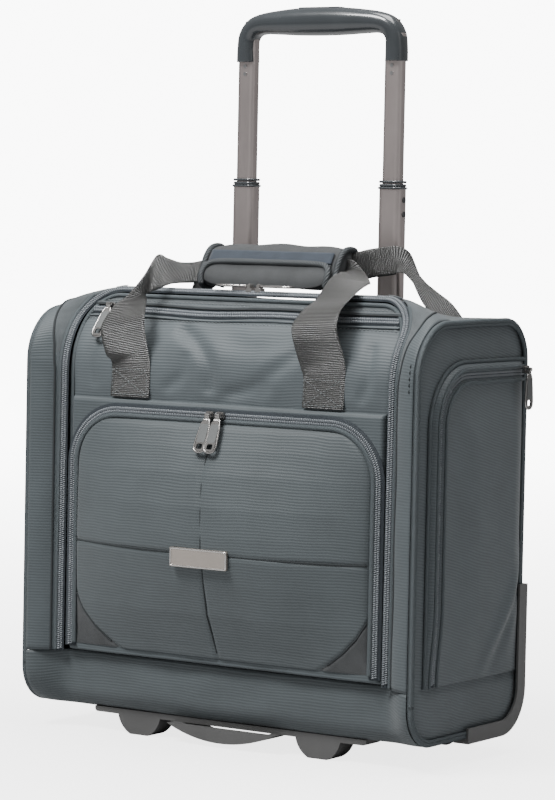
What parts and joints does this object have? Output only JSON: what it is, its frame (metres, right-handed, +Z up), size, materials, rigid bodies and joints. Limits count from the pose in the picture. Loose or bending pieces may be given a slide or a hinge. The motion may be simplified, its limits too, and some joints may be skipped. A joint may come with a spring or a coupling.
{
  "type": "rolling laptop case",
  "caption": "Soft-sided rolling laptop case with front panel and pockets that zip open, webbing handles, two rear wheels and a telescopic pull handle.",
  "frame": {"origin": "on the floor, under the middle of the whole case", "axes": "+Z up, -Y towards the front pocket, +X to the right as seen from the front"},
  "size_m": [0.452, 0.2136, 0.6646],
  "materials": {
    "shell_fabric": "ribbed polyester weave, slate grey",
    "panel_fabric": "ribbed polyester weave, darker slate grey",
    "smooth_fabric": "smooth tight weave, dark grey",
    "binding": "twill binding over a round cord",
    "webbing": "ribbed polyester webbing, warm dark grey",
    "zip_tape": "woven tape with a nylon coil",
    "lining": "plain lining cloth over foam",
    "stiffener": "polyethylene board",
    "dark_plastic": "moulded, fine texture",
    "grip_plastic": "satin, dark slate",
    "tube_metal": "anodised, warm gunmetal",
    "puller_metal": "gunmetal nickel",
    "bright_metal": "bright nickel",
    "plate_metal": "warm brushed finish",
    "steel": "zinc plated",
    "tyre_rubber": "soft polyurethane, black",
    "wheel_plastic": "moulded"
  },
  "bodies": {
    "case": {"front_gusset": "shell_fabric", "bottom_band": "panel_fabric", "top_panel": "shell_fabric", "base_panel": "panel_fabric", "back_panel": "shell_fabric", "side_panel_right": "shell_fabric", "side_panel_left": "shell_fabric", "edge_piping": "binding", "side_pockets": "shell_fabric", "side_zips": "zip_tape", "back_board": "stiffener", "base_board": "stiffener", "laptop_divider": "lining", "base_bar": "dark_plastic", "bottom_handle": "dark_plastic", "corner_guards": "dark_plastic", "wheel_housings": "dark_plastic", "wheel_axles": "steel", "outer_tubes": "tube_metal", "trolley_bezel": "dark_plastic", "trolley_foot": "dark_plastic", "base_screws": "steel", "rear_strap": "webbing", "handle_pad": "smooth_fabric", "main_zip": "zip_tape"},
    "mid_stage": {"mid_tubes": "tube_metal", "mid_collars": "dark_plastic", "mid_guides": "wheel_plastic", "collar_plugs": "wheel_plastic"},
    "inner_stage": {"inner_tubes": "tube_metal", "grip_front_shell": "grip_plastic", "grip_rear_shell": "grip_plastic", "lock_blocks": "wheel_plastic", "grip_rivets": "steel"},
    "release_button": {"release_button": "grip_plastic", "push_rods": "steel"},
    "wheel_left": {"tyre_left": "tyre_rubber", "wheel_hub_left": "wheel_plastic"},
    "wheel_right": {"tyre_right": "tyre_rubber", "wheel_hub_right": "wheel_plastic"},
    "front_panel": {"front_panel": "shell_fabric", "front_pocket": "panel_fabric", "front_strap": "webbing", "panel_zips": "zip_tape"},
    "pocket_face": {"pocket_face": "panel_fabric", "nameplate": "plate_metal"},
    "main_left_slider": {"main_left_slider": "bright_metal"},
    "main_left_pull": {"main_left_pull": "bright_metal"},
    "main_right_slider": {"main_right_slider": "bright_metal"},
    "main_right_pull": {"main_right_pull": "bright_metal"},
    "upper_slider": {"upper_slider": "puller_metal"},
    "upper_pull": {"upper_pull": "puller_metal"},
    "pocket_left_slider": {"pocket_left_slider": "puller_metal"},
    "pocket_left_pull": {"pocket_left_pull": "puller_metal"},
    "pocket_right_slider": {"pocket_right_slider": "puller_metal"},
    "pocket_right_pull": {"pocket_right_pull": "puller_metal"},
    "side_left_slider": {"side_left_slider": "puller_metal"},
    "side_left_pull": {"side_left_pull": "puller_metal"},
    "side_right_slider": {"side_right_slider": "puller_metal"},
    "side_right_pull": {"side_right_pull": "puller_metal"}
  },
  "joints": [
    {"name": "front_panel_hinge", "type": "hinge", "parent": "case", "child": "front_panel", "pos_m": [0, -0.06375, 0.0735], "axis": [1, 0, 0], "range_deg": [0, 60], "deforming": ["front_strap"]},
    {"name": "pocket_face_hinge", "type": "hinge", "parent": "front_panel", "child": "pocket_face", "pos_m": [0, -0.07315, 0.083], "axis": [1, 0, 0], "range_deg": [0, 28]},
    {"name": "handle_lower_stage", "type": "slide", "parent": "case", "child": "mid_stage", "axis": [0, 0, 1], "range_m": [-0.103, 0.165]},
    {"name": "handle_upper_stage", "type": "slide", "parent": "mid_stage", "child": "inner_stage", "axis": [0, 0, 1], "range_m": [-0.092, 0.165]},
    {"name": "release_button_press", "type": "slide", "parent": "inner_stage", "child": "release_button", "axis": [0, 0, -1], "range_m": [0, 0.003], "stiffness_N_per_m": 900, "springref_m": -0.002},
    {"name": "wheel_spin_left", "type": "hinge", "parent": "case", "child": "wheel_left", "pos_m": [-0.14, 0.082, 0.025], "axis": [1, 0, 0], "continuous": true},
    {"name": "wheel_spin_right", "type": "hinge", "parent": "case", "child": "wheel_right", "pos_m": [0.14, 0.082, 0.025], "axis": [1, 0, 0], "continuous": true},
    {"name": "pocket_left_slide", "type": "slide", "parent": "front_panel", "child": "pocket_left_slider", "axis": [-1, 0, 0], "range_m": [0, 0.095]},
    {"name": "pocket_left_pull_swing", "type": "hinge", "parent": "pocket_left_slider", "child": "pocket_left_pull", "pos_m": [-0.0105, -0.08, 0.2969], "axis": [-1, 0, 0], "range_deg": [0, 126]},
    {"name": "pocket_right_slide", "type": "slide", "parent": "front_panel", "child": "pocket_right_slider", "axis": [1, 0, 0], "range_m": [0, 0.105]},
    {"name": "pocket_right_pull_swing", "type": "hinge", "parent": "pocket_right_slider", "child": "pocket_right_pull", "pos_m": [0.0005, -0.08, 0.2969], "axis": [-1, 0, 0], "range_deg": [0, 126]},
    {"name": "upper_slide", "type": "slide", "parent": "front_panel", "child": "upper_slider", "axis": [1, 0, 0], "range_m": [0, 0.288]},
    {"name": "upper_pull_swing", "type": "hinge", "parent": "upper_slider", "child": "upper_pull", "pos_m": [-0.144, -0.04922, 0.39003], "axis": [-1, 0, 0], "range_deg": [0, 150]},
    {"name": "main_left_slide", "type": "slide", "parent": "case", "child": "main_left_slider", "axis": [-1, 0, 0], "range_m": [0, 0.112]},
    {"name": "main_left_pull_swing", "type": "hinge", "parent": "main_left_slider", "child": "main_left_pull", "pos_m": [-0.005, -0.0255, 0.4109], "axis": [0, 1, 0], "range_deg": [0, 95]},
    {"name": "main_right_slide", "type": "slide", "parent": "case", "child": "main_right_slider", "axis": [1, 0, 0], "range_m": [0, 0.112]},
    {"name": "main_right_pull_swing", "type": "hinge", "parent": "main_right_slider", "child": "main_right_pull", "pos_m": [0.005, -0.0255, 0.4109], "axis": [0, -1, 0], "range_deg": [0, 95]},
    {"name": "side_right_slide", "type": "slide", "parent": "case", "child": "side_right_slider", "axis": [0, -1, 0], "range_m": [0, 0.075]},
    {"name": "side_right_pull_swing", "type": "hinge", "parent": "side_right_slider", "child": "side_right_pull", "pos_m": [0.224, 0.078, 0.343], "axis": [0, -1, 0], "range_deg": [0, 150]},
    {"name": "side_left_slide", "type": "slide", "parent": "case", "child": "side_left_slider", "axis": [0, -1, 0], "range_m": [0, 0.075]},
    {"name": "side_left_pull_swing", "type": "hinge", "parent": "side_left_slider", "child": "side_left_pull", "pos_m": [-0.224, 0.078, 0.343], "axis": [0, 1, 0], "range_deg": [0, 150]}
  ]
}
